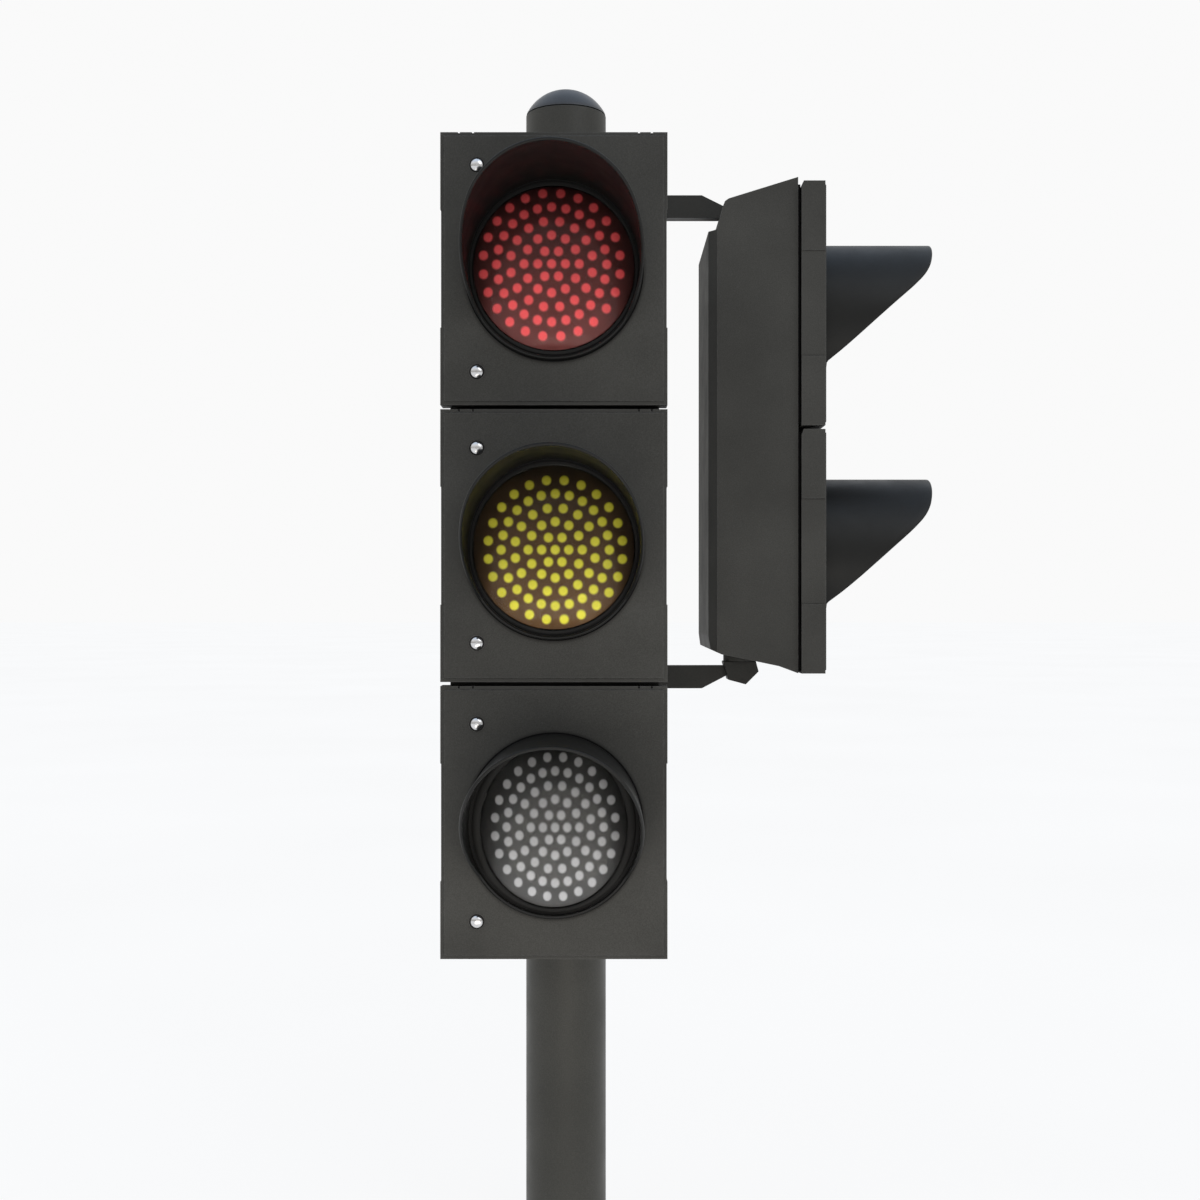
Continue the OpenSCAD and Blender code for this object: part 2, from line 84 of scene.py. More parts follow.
LENS_DEPTH = 13.6 * MM
LENS_WALL = 1.3 * MM
# The domed board behind a lens: how much smaller it is, its rise and how far its rim lies back
BOARD_INSET = 1.6 * MM
BOARD_RISE = 8 * MM
BOARD_SUNK = 0.5 * MM
LATCH_HEAD = 8 * MM
LATCH_RISE = 5 * MM

DOT_COLOUR = {
    "red": (0.6, 0.082, 0.086),
    "amber": (0.52, 0.5, 0.045),
    "clear": (0.36, 0.36, 0.365),
    "green": (0.05, 0.5, 0.26),
}
# Each kind's board near its foot and near its top: painted light at the foot, painted shade at the top
BOARD_COLOUR = {
    "red": ((0.26, 0.09, 0.08), (0.03, 0.004, 0.004)),
    "amber": ((0.22, 0.12, 0.06), (0.016, 0.008, 0.003)),
    "clear": ((0.16, 0.16, 0.16), (0.016, 0.016, 0.016)),
    "green": ((0.07, 0.16, 0.12), (0.003, 0.012, 0.008)),
}
LENS_TINT = {
    "red": (0.97, 0.86, 0.86),
    "amber": (0.97, 0.95, 0.88),
    "clear": (0.93, 0.93, 0.93),
    "green": (0.86, 0.95, 0.92),
}

# Glow of the floor, and brightness of the surround as the camera sees it
FLOOR_GLOW = 0.85
WHITE = 0.955
CAMERA_PLACE = (0.0488, -2.2284, 0.9)
CAMERA_LENS = 46.5


# ---------- meshes ----------


def aspect_place(name):
    """Matrix of an aspect's face, its visor's radius and its length. Local Z points out, local Y up."""
    low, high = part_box(name + "_visor")
    if name.startswith("main"):
        radius, length = (high.x - low.x) / 2, high.y - low.y
        middle = Vector((low.x + radius, high.y, high.z - radius))
        turn = Matrix.Identity(4)
    else:
        radius, length = (high.y - low.y) / 2, high.x - low.x
        middle = Vector((low.x, low.y + radius, high.z - radius))
        turn = Matrix.Rotation(math.pi / 2, 4, "Z")
    stand = Matrix.Rotation(math.pi / 2, 4, "X")
    return Matrix.Translation(middle) @ turn @ stand, radius, length


def lofted(bm, rings, closed=False):
    """Joins rings of points into quads, each ring closed on itself. A ring of one point closes to it."""
    made = [[bm.verts.new(p) for p in ring] for ring in rings]
    pairs = list(zip(made, made[1:]))
    if closed:
        pairs.append((made[-1], made[0]))
    for a, b in pairs:
        count = max(len(a), len(b))
        if count == 1:
            continue
        for i in range(count):
            j = (i + 1) % count
            if len(a) == 1:
                bm.faces.new((a[0], b[j], b[i]))
            elif len(b) == 1:
                bm.faces.new((a[i], a[j], b[0]))
            else:
                bm.faces.new((a[i], a[j], b[j], b[i]))


def circle(radius_x, radius_y, height, count, centre=(0, 0)):
    """Points of an ellipse at a height, or its one middle point."""
    x, y = centre
    if radius_x <= 0:
        return [Vector((x, y, height))]
    turns = [2 * math.pi * i / count for i in range(count)]
    return [Vector((x + radius_x * math.cos(t), y + radius_y * math.sin(t), height)) for t in turns]


def revolved(bm, profile, count, closed=False):
    """Spins an outline of (radius, height) round local Z."""
    lofted(bm, [circle(r, r, h, count) for r, h in profile], closed)


def soft_block(bm, size, centre, soft, segments, slant=0.0):
    """A block with rounded edges, its lower outer edge raised by a slant. Returns its points."""
    corners = bmesh.ops.create_cube(bm, size=1.0)["verts"]
    bmesh.ops.scale(bm, verts=corners, vec=size)
    for vert in corners:
        if vert.co.x > 0 and vert.co.z < 0:
            vert.co.z += slant
    bmesh.ops.translate(bm, verts=corners, vec=centre)
    edges = list(dict.fromkeys(e for v in corners for e in v.link_edges))
    made = bmesh.ops.bevel(
        bm, geom=edges, offset=soft, segments=segments, affect="EDGES", profile=0.5
    )
    return list(dict.fromkeys(v for f in made["faces"] for v in f.verts))


def rounded(corner, before, after, radius, steps=4):
    """Points that round a corner between two neighbours."""
    corner = Vector(corner)
    a = (Vector(before) - corner).normalized()
    b = (Vector(after) - corner).normalized()
    half = a.angle(b) / 2
    reach = radius / math.tan(half)
    middle = corner + (a + b).normalized() * (radius / math.sin(half))
    start = corner + a * reach - middle
    end = corner + b * reach - middle
    mixed = [start.lerp(end, i / steps).normalized() for i in range(steps + 1)]
    return [tuple(middle + arm * radius) for arm in mixed]


def softened(outline):
    """An open outline with each corner rounded by its third number."""
    result = []
    for i, (x, y, radius) in enumerate(outline):
        if radius == 0:
            result.append((x, y))
        else:
            result += rounded((x, y), outline[i - 1][:2], outline[i + 1][:2], radius)
    return result


def rounded_off(outline, rounds=2):
    """An open outline with its corners cut over and over."""
    for _ in range(rounds):
        cut = [outline[0]]
        for a, b in zip(outline, outline[1:]):
            cut.append(tuple(p * 0.75 + q * 0.25 for p, q in zip(a, b)))
            cut.append(tuple(p * 0.25 + q * 0.75 for p, q in zip(a, b)))
        outline = cut + [outline[-1]]
    return outline


def piece(name, bm, matrix, material, body, nodes=(), sharp=38):
    """Makes a finished piece from a mesh drawn in a local place."""
    bmesh.ops.remove_doubles(bm, verts=bm.verts, dist=1e-6)
    bmesh.ops.recalc_face_normals(bm, faces=bm.faces)
    bm.transform(matrix)
    for face in bm.faces:
        face.smooth = True
    for edge in bm.edges:
        if len(edge.link_faces) == 2 and edge.calc_face_angle(0) > math.radians(sharp):
            edge.smooth = False
    mesh = bpy.data.meshes.new(name)
    bm.to_mesh(mesh)
    bm.free()
    mesh.materials.append(material)
    made = bpy.data.objects.new(name, mesh)
    bpy.context.scene.collection.objects.link(made)
    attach(made, body)
    if nodes:
        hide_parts(*nodes)


# ---------- materials ----------


def link(tree, value, socket):
    """Feeds a socket from another socket, or sets its value."""
    if isinstance(value, bpy.types.NodeSocket):
        tree.links.new(value, socket)
    else:
        socket.default_value = value


def add(tree, kind, inputs=None, **settings):
    """A node with its settings, and its inputs by name or number."""
    made = tree.nodes.new(kind)
    for key, value in settings.items():
        setattr(made, key, value)
    for key, value in (inputs or {}).items():
        link(tree, value, made.inputs[key])
    return made


def noise(tree, place, scale, detail=3.0, rough=0.5):
    """Cloudy noise over a place, as a value."""
    inputs = {"Vector": place, "Scale": scale, "Detail": detail, "Roughness": rough}
    return add(tree, "ShaderNodeTexNoise", inputs).outputs["Fac"]


def ramp(tree, value, stops):
    """A colour ramp over a value. A stop is its position and a colour or a grey."""
    made = add(tree, "ShaderNodeValToRGB", {"Fac": value})
    elements = made.color_ramp.elements
    while len(elements) < len(stops):
        elements.new(0.5)
    for element, (position, colour) in zip(elements, stops):
        element.position = position
        grey = isinstance(colour, (int, float))
        element.color = (colour, colour, colour, 1) if grey else (*colour, 1)
    return made.outputs["Color"]


def blend(tree, factor, a, b, kind="MIX"):
    """Two colours mixed by a factor."""
    inputs = {0: factor, 6: a, 7: b}
    return add(tree, "ShaderNodeMix", inputs, data_type="RGBA", blend_type=kind).outputs[2]


def times(tree, a, b):
    """Two colours multiplied."""
    return blend(tree, 1.0, a, b, "MULTIPLY")


def spread(tree, value, low, high):
    """Maps noise, which keeps to the middle of its range, onto a range of values."""
    return add(tree, "ShaderNodeMapRange", {"Value": value, 1: 0.3, 2: 0.7, 3: low, 4: high}).outputs[0]


def shade(colour, factor):
    """A colour made lighter or darker."""
    return tuple(min(1.0, c * factor) for c in colour)


def mean(a, b, share):
    """A colour a share of the way from one to another."""
    return tuple(p + (q - p) * share for p, q in zip(a, b))


def bumped(tree, shader, strength, depth, height):
    """Gives a shader a bump of a depth in metres."""
    inputs = {"Strength": strength, "Distance": depth, "Height": height}
    link(tree, add(tree, "ShaderNodeBump", inputs).outputs[0], shader.inputs["Normal"])


def height_share(tree):
    """How high a point lies in its piece, from 0 at the foot to 1 at the top."""
    whole = tree.nodes.new("ShaderNodeTexCoord").outputs["Generated"]
    return add(tree, "ShaderNodeSeparateXYZ", {0: whole}).outputs["Z"]


def flank_shade(tree):
    """Paints shade on a lamp's board towards its left and right edges."""
    flank = add(tree, "ShaderNodeAttribute", attribute_name="flank").outputs["Fac"]
    return ramp(tree, flank, [(0.55, 1.0), (1.0, 0.25)])


def new_material(name):
    """An empty Principled material with its tree, shader and object coordinates."""
    made = bpy.data.materials.new(name)
    made.use_nodes = True
    tree = made.node_tree
    shader = tree.nodes["Principled BSDF"]
    place = tree.nodes.new("ShaderNodeTexCoord").outputs["Object"]
    return made, tree, shader, place


def edge_wear_and_highlight(tree, place, radius, amount):
    """A mask that is bright on corners, broken up by noise: partly wear and partly painted highlight."""
    bevel = add(tree, "ShaderNodeBevel", {"Radius": radius}, samples=4).outputs[0]
    flat = add(tree, "ShaderNodeNewGeometry").outputs["Normal"]
    facing = add(tree, "ShaderNodeVectorMath", {0: bevel, 1: flat}, operation="DOT_PRODUCT")
    ranges = {"Value": facing.outputs["Value"], 1: 1.0, 2: 0.86, 3: 0.0, 4: amount}
    corner = add(tree, "ShaderNodeMapRange", ranges).outputs[0]
    broken = spread(tree, noise(tree, place, 160, 3), 0.25, 1.0)
    return add(tree, "ShaderNodeMath", {0: corner, 1: broken}, operation="MULTIPLY").outputs[0]


def coated(name, base, dust_wear_and_highlight, rough, level, wear_and_highlight, grain_scale, grain_depth):
    """Moulded plastic or powder coat: mottled and grained, with dust, painted shade in its recesses, and
    pale corners that are partly wear and partly painted highlight.
    """
    made, tree, shader, place = new_material(name)
    clouds = noise(tree, place, 7, 5)
    mottle = ramp(tree, clouds, [(0.32, shade(base, 0.86)), (0.68, shade(base, 1.14))])
    grain = noise(tree, place, grain_scale, 2)
    grained = times(tree, mottle, ramp(tree, grain, [(0.36, 0.78), (0.64, 1.0)]))
    dust = ramp(tree, noise(tree, place, grain_scale * 0.6, 1), [(0.66, 0.0), (0.76, 0.1)])
    dusty = blend(tree, dust, grained, (*dust_wear_and_highlight, 1))
    # Painted shade: the colour darkens in recesses and crevices, where shade falls
    open_to_light = add(tree, "ShaderNodeAmbientOcclusion", {"Distance": 6 * MM}, samples=4)
    painted_recess_shade = ramp(tree, open_to_light.outputs["AO"], [(0.6, 0.35), (0.97, 1.0)])
    # Pale corners: partly wear and partly a painted highlight along the edges
    corners = edge_wear_and_highlight(tree, place, 1.1 * MM, wear_and_highlight)
    colour = blend(tree, corners, times(tree, dusty, painted_recess_shade), (*dust_wear_and_highlight, 1))
    link(tree, colour, shader.inputs["Base Color"])
    smears = noise(tree, place, 18, 4, 0.6)
    link(tree, spread(tree, smears, rough - 0.07, rough + 0.07), shader.inputs["Roughness"])
    shader.inputs["Specular IOR Level"].default_value = level
    bumped(tree, shader, 0.35, grain_depth, grain)
    return made


def steel(name, base, rough, scale, contrast):
    """Zinc or bright metal with a fine spangle."""
    made, tree, shader, place = new_material(name)
    cells = add(tree, "ShaderNodeTexVoronoi", {"Vector": place, "Scale": scale}, feature="F1")
    flake = add(tree, "ShaderNodeSeparateColor", {"Color": cells.outputs["Color"]}).outputs[0]
    colour = ramp(tree, flake, [(0.0, shade(base, 1 - contrast)), (1.0, shade(base, 1 + contrast))])
    streaks = ramp(tree, noise(tree, place, 45, 6, 0.7), [(0.3, 0.8), (0.7, 1.0)])
    link(tree, times(tree, colour, streaks), shader.inputs["Base Color"])
    shader.inputs["Metallic"].default_value = 1.0
    smears = noise(tree, place, 90, 4)
    link(tree, spread(tree, smears, rough - 0.06, rough + 0.08), shader.inputs["Roughness"])
    bumped(tree, shader, 0.2, 0.05 * MM, noise(tree, place, 700, 3))
    return made


def glass(name, tint):
    """A clear cover with faint moulding haze."""
    made, tree, shader, place = new_material(name)
    haze = noise(tree, place, 30, 4)
    colour = ramp(tree, haze, [(0.3, shade(tint, 0.94)), (0.7, tint)])
    link(tree, colour, shader.inputs["Base Color"])
    link(tree, spread(tree, haze, 0.05, 0.1), shader.inputs["Roughness"])
    shader.inputs["Transmission Weight"].default_value = 1.0
    shader.inputs["IOR"].default_value = 1.18
    bumped(tree, shader, 0.06, 0.3 * MM, noise(tree, place, 55, 2))
    return made


def board_colour(tree, haze, dark):
    """A diode board's colour, paler towards its foot and darker towards its top and sides: painted light
    at its foot and painted shade under the visor.
    """
    # Painted light at the foot and painted shade towards the top, as under the visor's hood
    lit_foot_shaded_top = ramp(tree, height_share(tree), [(0.0, haze), (0.3, mean(haze, dark, 0.3)), (1.0, dark)])
    return times(tree, lit_foot_shaded_top, flank_shade(tree))


def satin(tree, shader, place):
    """A dull sheen, faintly uneven."""
    link(tree, spread(tree, noise(tree, place, 300, 2), 0.5, 0.65), shader.inputs["Roughness"])
    shader.inputs["Specular IOR Level"].default_value = 0.2


def board(name, haze, dark):
    """A diode board of plastic, with painted light and shade in its colour."""
    made, tree, shader, place = new_material(name)
    cloud = ramp(tree, noise(tree, place, 60, 4), [(0.3, 0.85), (0.7, 1.0)])
    grain = ramp(tree, noise(tree, place, 900, 2), [(0.35, 0.88), (0.65, 1.0)])
    cloudy = times(tree, board_colour(tree, haze, dark), cloud)
    link(tree, times(tree, cloudy, grain), shader.inputs["Base Color"])
    satin(tree, shader, place)
    return made


def diode(name, colour, haze, dark):
    """Frosted diode lenses that fade into their board, with a painted glow that is brightest towards the
    foot of the lamp and fades upward and to the sides as painted shade.
    """
    made, tree, shader, place = new_material(name)
    clouds = noise(tree, place, 70, 2)
    uneven = ramp(tree, clouds, [(0.3, shade(colour, 0.92)), (0.7, shade(colour, 1.04))])
    frost = ramp(tree, noise(tree, place, 900, 2), [(0.35, 0.92), (0.65, 1.0)])
    tinted = times(tree, uneven, frost)
    lit = add(tree, "ShaderNodeAttribute", attribute_name="glow").outputs["Fac"]
    ground = board_colour(tree, haze, dark)
    link(tree, blend(tree, lit, ground, tinted), shader.inputs["Base Color"])
    # Painted light: the glow stands in for light from below and fades upward as painted shade under the
    # visor
    strength = ramp(tree, height_share(tree), [(0.0, 1.0), (1.0, 0.0)])
    painted_glow = times(tree, times(tree, tinted, strength), flank_shade(tree))
    glow = blend(tree, lit, (0.0, 0.0, 0.0, 1), painted_glow)
    link(tree, glow, shader.inputs["Emission Color"])
    shader.inputs["Emission Strength"].default_value = 1.0
    satin(tree, shader, place)
    return made


head_plastic = coated(
    "head_plastic", (0.06, 0.0592, 0.055), dust_wear_and_highlight=(0.13, 0.13, 0.128),
    rough=0.55, level=0.08, wear_and_highlight=0.9, grain_scale=900, grain_depth=0.12 * MM,
)
visor_plastic = coated(
    "visor_plastic", (0.0062, 0.0064, 0.0059), dust_wear_and_highlight=(0.03, 0.03, 0.029),
    rough=0.45, level=0.24, wear_and_highlight=0.2, grain_scale=1000, grain_depth=0.08 * MM,
)
housing_plastic = coated(
    "housing_plastic", (0.0085, 0.0085, 0.0082), dust_wear_and_highlight=(0.02, 0.02, 0.02),
    rough=0.55, level=0.2, wear_and_highlight=0.3, grain_scale=800, grain_depth=0.1 * MM,
)
pole_paint = coated(
    "pole_paint", (0.046, 0.0452, 0.0395), dust_wear_and_highlight=(0.1, 0.1, 0.092),
    rough=0.45, level=0.3, wear_and_highlight=0.4, grain_scale=650, grain_depth=0.1 * MM,
)
# The same paint as the pole; the cap's blue tint is a painted reflection of the sky
cap_paint = coated(
    "cap_paint", (0.03, 0.032, 0.036), dust_wear_and_highlight=(0.1, 0.105, 0.11),
    rough=0.4, level=0.5, wear_and_highlight=0.5, grain_scale=700, grain_depth=0.1 * MM,
)
bracket_paint = coated(
    "bracket_paint", (0.024, 0.0236, 0.021), dust_wear_and_highlight=(0.06, 0.06, 0.056),
    rough=0.55, level=0.3, wear_and_highlight=0.5, grain_scale=700, grain_depth=0.12 * MM,
)
seal_rubber = coated(
    "seal_rubber", (0.004, 0.004, 0.004), dust_wear_and_highlight=(0.01, 0.01, 0.01),
    rough=0.8, level=0.1, wear_and_highlight=0.2, grain_scale=500, grain_depth=0.15 * MM,
)
terminal_plastic = coated(
    "terminal_plastic", (0.6, 0.57, 0.48), dust_wear_and_highlight=(0.75, 0.73, 0.66),
    rough=0.45, level=0.5, wear_and_highlight=0.4, grain_scale=400, grain_depth=0.1 * MM,
)
galvanised_steel = steel("galvanised_steel", (0.42, 0.44, 0.46), rough=0.42, scale=110, contrast=0.18)
zinc_fasteners = steel("zinc_fasteners", (0.5, 0.5, 0.47), rough=0.35, scale=400, contrast=0.1)
chrome_screws = steel("chrome_screws", (0.72, 0.72, 0.73), rough=0.17, scale=300, contrast=0.03)
glasses = {kind: glass(kind + "_lens", tint) for kind, tint in LENS_TINT.items()}
diodes = {
    kind: diode(kind + "_diodes", DOT_COLOUR[kind], haze, dark)
    for kind, (haze, dark) in BOARD_COLOUR.items()
}
boards = {kind: board(kind + "_board", haze, dark) for kind, (haze, dark) in BOARD_COLOUR.items()}


# ---------- lamps and visors ----------


def visor_reach(below, length, edge):
    """How far a visor stands ahead of the door at a depth below its top."""
    for (a, reach_a), (b, reach_b) in zip(edge, edge[1:]):
        if below <= b:
            share = (below - a) / (b - a)
            return max(VISOR_COLLAR, length - reach_a - (reach_b - reach_a) * share)
    return VISOR_COLLAR


def make_visor(name):
    """A hood cut along its edge, with a rounded rim and a foot stepped in for its gasket."""
    matrix, radius, length = aspect_place(name)
    inner, half = radius - VISOR_WALL, VISOR_WALL / 2
    foot, foot_radius, foot_height = 1.6 * MM, radius - 1.1 * MM, 0.2 * MM
    turned = VISOR_TURN if name.startswith("side") else 0.0
    count, along, rim = 192, 14, 6
    edge = rounded_off([(below * MM, back * MM) for below, back in VISOR_EDGE])
    columns = []
    for i in range(count):
        angle = 2 * math.pi * i / count
        reach = visor_reach(radius * (1 - math.cos(angle + turned)), length, edge) - half
        column = [(inner + 0.4 * MM, foot_height), (foot_radius, foot_height), (foot_radius, foot / 2)]
        column += [(radius, foot + (reach - foot) * k / along) for k in range(along + 1)]
        for k in range(1, rim):
            turn = math.pi * k / rim
            column.append((radius - half + half * math.cos(turn), reach + half * math.sin(turn)))
        column += [(inner, reach - (reach - foot) * k / along) for k in range(along + 1)]
        across, up = VISOR_NARROW * math.sin(angle), math.cos(angle)
        columns.append([Vector((r * across, r * up, h)) for r, h in column])
    bm = bmesh.new()
    lofted(bm, columns, True)
    door = name + "_door"
    piece(name + "_hood", bm, matrix, visor_plastic, door, [name + "_visor"])


def make_bezel(name, kind):
    """The dark ring between a lens and the visor's wall, stepped towards the lens."""
    matrix, radius, _ = aspect_place(name)
    wide, high, raised = LENS_SHAPE[kind]
    outer = radius - VISOR_WALL - 0.3 * MM
    # How far out from the lens, as a share of the gap, and how high in millimetres
    section = [
        (0.0, -2.5), (0.0, 1.0), (0.08, 1.5), (0.62, 1.7), (0.7, 1.3), (0.72, 0.15),
        (1.0, 0.15), (1.0, 0.05), (0.36, 0.05), (0.3, -2.5),
    ]
    rings = []
    for share, height in section:
        rx = wide + (outer * VISOR_NARROW - wide) * share
        ry = high + (outer - high) * share
        rings.append(circle(rx, ry, height * MM, 128, (0, raised * (1 - share))))
    bm = bmesh.new()
    lofted(bm, rings, True)
    piece(name + "_bezel", bm, matrix, housing_plastic, name + "_door")


def make_gasket(name):
    """The thin rubber ring on which a visor stands."""
    matrix, radius, _ = aspect_place(name)
    matrix = matrix @ Matrix.Diagonal((VISOR_NARROW, 1, 1, 1))
    # Beside the visor's outside and above the door, in millimetres
    profile = [(-3.4, 0.04), (-3.4, 0.35), (1.3, 0.35), (1.6, 0.2), (1.6, 0.04)]
    bm = bmesh.new()
    revolved(bm, [(radius + r * MM, h * MM) for r, h in profile], 128, True)
    piece(name + "_gasket", bm, matrix, seal_rubber, name + "_door")


def lens_rings(wide, high, depth, middle, shares):
    """Rings of a nearly flat cover whose edge curls back."""
    return [circle(wide * s, high * s, depth * (1 - s**5), 96, middle) for s in shares]


def make_lens(name, kind):
    """An elliptical cover of even thickness, nearly flat with a curled edge and a short skirt."""
    matrix, _, _ = aspect_place(name)
    wide, high, raised = LENS_SHAPE[kind]
    middle = (0, raised)
    steps = 18
    shares = [math.cos(math.pi / 2 * k / steps) for k in range(steps)] + [0]
    rings = lens_rings(wide, high, LENS_DEPTH, middle, shares)
    rings += lens_rings(
        wide - LENS_WALL, high - LENS_WALL, LENS_DEPTH - LENS_WALL, middle, shares[::-1]
    )
    for inset, height in ((LENS_WALL, -4 * MM), (0.3 * MM, -4.2 * MM)):
        rings.append(circle(wide - inset, high - inset, height, 96, middle))
    bm = bmesh.new()
    lofted(bm, rings, True)
    door = name + "_door"
    piece(name + "_cover", bm, matrix, glasses[kind], door, [name + "_lens"])


def mark_flanks(bm, wide):
    """Notes on each point how far it stands to the side."""
    flank = bm.verts.layers.float.new("flank")
    for vert in bm.verts:
        vert[flank] = abs(vert.co.x) / wide


def board_height(kind, x, y):
    """How high the domed board of a kind of lamp stands at a place."""
    wide, high, raised = LENS_SHAPE[kind]
    off = (x / (wide - BOARD_INSET)) ** 2 + ((y - raised) / (high - BOARD_INSET)) ** 2
    return BOARD_RISE * (1 - off) - BOARD_SUNK


def make_plate(name, kind):
    """The domed board behind the cover."""
    matrix, _, _ = aspect_place(name)
    wide, high, raised = LENS_SHAPE[kind]
    wide, high = wide - BOARD_INSET, high - BOARD_INSET
    middle = (0, raised)
    steps, back_steps, back, count = 12, 6, -2 * MM, 96
    rings = []
    for k in range(steps + 1):
        share = 1 - k / steps
        height = BOARD_RISE * (1 - share * share) - BOARD_SUNK
        rings.append(circle(wide * share, high * share, height, count, middle))
    for k in range(back_steps + 1):
        share = k / back_steps
        rings.append(circle(wide * share, high * share, back, count, middle))
    bm = bmesh.new()
    lofted(bm, rings, True)
    mark_flanks(bm, wide)
    door = name + "_door"
    piece(name + "_plate", bm, matrix, boards[kind], door, [name + "_leds"])


def add_dot(bm, glow, kind, x, y, squeeze):
    """One frosted dome on the board, with its glow noted on each point."""
    sunk = -0.8
    foot = (DOT_PROFILE[0][0], sunk, 0.0)
    dome, levels = [[Vector((x, y, board_height(kind, x, y) + sunk * MM))]], [0.0]
    for radius, up, share in [foot] + DOT_PROFILE:
        ring = circle(radius * squeeze * MM, radius * MM, 0, 20, (x, y))
        dome.append([Vector((p.x, p.y, board_height(kind, p.x, p.y) + up * MM)) for p in ring])
        levels += [share] * len(ring)
    before = len(bm.verts)
    lofted(bm, dome)
    bm.verts.ensure_lookup_table()
    for vert, share in zip(bm.verts[before:], levels):
        vert[glow] = share


def make_dots(name, kind):
    """The rings of frosted diodes on the board."""
    matrix, _, _ = aspect_place(name)
    pitch, squeeze, shift, raised = DOTS[kind]
    bm = bmesh.new()
    glow = bm.verts.layers.float.new("glow")
    for ring, (count, start) in enumerate(DOT_RINGS):
        for i in range(count):
            angle = math.radians(start + 360 * i / count)
            x = shift + ring * pitch * squeeze * math.sin(angle)
            y = raised + ring * pitch * math.cos(angle)
            add_dot(bm, glow, kind, x, y, squeeze)
    mark_flanks(bm, LENS_SHAPE[kind][0] - BOARD_INSET)
    door = name + "_door"
    piece(name + "_dots", bm, matrix, diodes[kind], door, [name + "_leds"])


def make_housing(name):
    """The lamp's rear barrel with a rolled flange and cooling ribs that slant at their back ends."""
    matrix, _, _ = aspect_place(name)
    # Radius, height and corner radius, in millimetres
    profile = softened([
        (0.0, -95.0, 0), (14, -95, 1), (14, -92.5, 1), (70, -92.5, 3), (88, -88, 6),
        (88, -11.5, 1.5), (105.5, -11.5, 1), (105.5, -8.0, 1), (85.4, -8.0, 1), (85.4, -88, 4),
        (0.0, -89.5, 0),
    ])
    bm = bmesh.new()
    revolved(bm, [(r * MM, h * MM) for r, h in profile], 96)
    rib_count, rib_size, rib_centre = 12, (7.8 * MM, 2.4 * MM, 60 * MM), (91.2 * MM, 0, -43 * MM)
    for i in range(rib_count):
        rib = soft_block(bm, rib_size, rib_centre, 0.6 * MM, 2, 9 * MM)
        turn = Matrix.Rotation(2 * math.pi * (i + 0.5) / rib_count, 4, "Z")
        bmesh.ops.transform(bm, matrix=turn, verts=rib)
    door = name + "_door"
    piece(name + "_barrel", bm, matrix, housing_plastic, door, [name + "_housing"])


def make_latch(name, side):
    """A quarter-turn screw: a flattened chrome dome over its shank and cam."""
    node = f"{name}_{side}_latch"
    low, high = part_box(node)
    if name.startswith("main"):
        middle = Vector((high.x - LATCH_HEAD, low.y + LATCH_RISE, high.z - LATCH_HEAD))
        turn = Matrix.Identity(4)
    else:
        middle = Vector((high.x - LATCH_RISE, high.y - LATCH_HEAD, high.z - LATCH_HEAD))
        turn = Matrix.Rotation(math.pi / 2, 4, "Z")
    matrix = Matrix.Translation(middle) @ turn @ Matrix.Rotation(math.pi / 2, 4, "X")
    dome = [0.2 + 0.15 * k for k in range(9)] + [math.pi / 2]
    # Radius and height in millimetres: the domed head, then the shank with its clip groove
    outline = [(0.0, 4.7), (0.9, 4.72)]
    outline += [(8.0 * math.sin(angle), 0.4 + 4.4 * math.cos(angle)) for angle in dome]
    outline += [(7.9, 0.0), (4.0, 0.0), (4.0, -20.0), (3.6, -21.0), (3.6, -23.0), (4.0, -24.0)]
    outline += [(4.0, -43.6), (3.6, -44.0), (0.0, -44.0)]
    bm = bmesh.new()
    revolved(bm, [(r * MM, h * MM) for r, h in outline], 48)
    soft_block(bm, (20 * MM, 8 * MM, 3 * MM), (-10 * MM, 0, -42.5 * MM), 0.8 * MM, 3)
    piece(node + "_screw", bm, matrix, chrome_screws, node, [node])


# ---------- pole ----------


def make_pole():
    """An open steel tube with rounded ends."""
    _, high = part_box("pole")
    outer, wall, top = high.x, 3.6 * MM, high.z
    inner, soft, along = outer - wall, 0.8 * MM, 40
    profile = [(outer - soft, 0)]
    profile += [(outer, soft + (top - 2 * soft) * k / along) for k in range(along + 1)]
    profile += [(outer - soft, top), (inner + soft, top), (inner, top - soft)]
    profile += [(inner, soft), (inner + soft, 0)]
    bm = bmesh.new()
    revolved(bm, profile, 160, True)
    piece("pole_tube", bm, Matrix.Identity(4), pole_paint, "root", ["pole"])


def make_cap():
    """A pressed dome, part of a ball, with a rolled rim, and the spigot below it."""
    low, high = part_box("pole_cap")
    outer, pole_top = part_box("pole")[1].x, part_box("pole")[1].z
    rim, lip = pole_top + 1.2 * MM, outer - 1.6 * MM
    rise, steps = high.z - rim, 28
    ball = (outer * outer + rise * rise) / (2 * rise)
    spread_angle = math.asin(outer / ball)
    profile = [(lip, rim), (outer - 0.5 * MM, rim + 0.1 * MM)]
    for k in range(1, steps + 1):
        turn = spread_angle * (1 - k / steps)
        profile.append((ball * math.sin(turn), high.z - ball + ball * math.cos(turn)))
    bm = bmesh.new()
    revolved(bm, profile, 128)
    spigot, bore = outer - 3.75 * MM, outer - 6.75 * MM
    inside = [(lip, rim), (spigot, rim), (spigot, low.z + 2 * MM), (spigot - 1 * MM, low.z)]
    inside += [(bore, low.z), (bore, rim - 2 * MM), (0, rim - 2 * MM)]
    revolved(bm, inside, 128)
    piece("cap_dome", bm, Matrix.Identity(4), cap_paint, "root", ["pole_cap"])


# ---------- carried-over CAD nodes ----------


